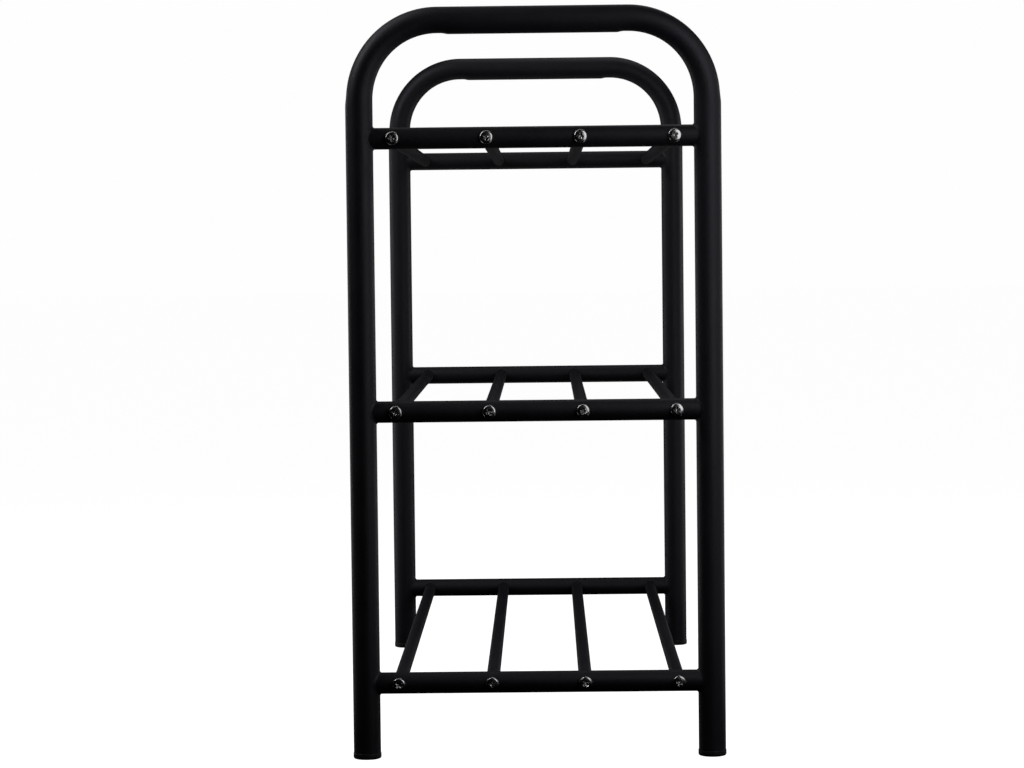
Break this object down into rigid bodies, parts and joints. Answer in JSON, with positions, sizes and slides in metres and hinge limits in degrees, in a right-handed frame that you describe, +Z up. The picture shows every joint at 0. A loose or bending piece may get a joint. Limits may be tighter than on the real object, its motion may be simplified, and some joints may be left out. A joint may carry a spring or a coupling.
{
  "type": "tiered shoe rack",
  "caption": "Open tiered shoe rack of black tube: two hoop-shaped end frames whose crossbars carry shelves of round rungs, held by cross-recess screws.",
  "frame": {"origin": "on the floor, at the centre of the rack's footprint", "axes": "+X along the shelves from the left end frame to the right one, +Y from the front to the rear, +Z up"},
  "size_m": [0.586, 0.2606, 0.522],
  "materials": {
    "black_powder_coat": "satin black powder coat with a fine texture",
    "plated_screw": "bright zinc plate",
    "insert_steel": "turned steel",
    "foot_plastic": "moulded black plastic"
  },
  "bodies": {
    "root": {"left_hoop": "black_powder_coat", "right_hoop": "black_powder_coat", "left_bottom_crossbar": "black_powder_coat", "left_middle_crossbar": "black_powder_coat", "left_top_crossbar": "black_powder_coat", "right_bottom_crossbar": "black_powder_coat", "right_middle_crossbar": "black_powder_coat", "right_top_crossbar": "black_powder_coat", "left_weld_beads": "black_powder_coat", "right_weld_beads": "black_powder_coat", "bottom_rung_1": "black_powder_coat", "bottom_rung_2": "black_powder_coat", "bottom_rung_3": "black_powder_coat", "bottom_rung_4": "black_powder_coat", "middle_rung_1": "black_powder_coat", "middle_rung_2": "black_powder_coat", "middle_rung_3": "black_powder_coat", "middle_rung_4": "black_powder_coat", "top_rung_1": "black_powder_coat", "top_rung_2": "black_powder_coat", "top_rung_3": "black_powder_coat", "top_rung_4": "black_powder_coat", "left_bottom_screws": "plated_screw", "left_middle_screws": "plated_screw", "left_top_screws": "plated_screw", "left_rung_inserts": "insert_steel", "left_front_foot": "foot_plastic", "left_rear_foot": "foot_plastic", "right_bottom_screws": "plated_screw", "right_middle_screws": "plated_screw", "right_top_screws": "plated_screw", "right_rung_inserts": "insert_steel", "right_front_foot": "foot_plastic", "right_rear_foot": "foot_plastic"}
  },
  "joints": []
}
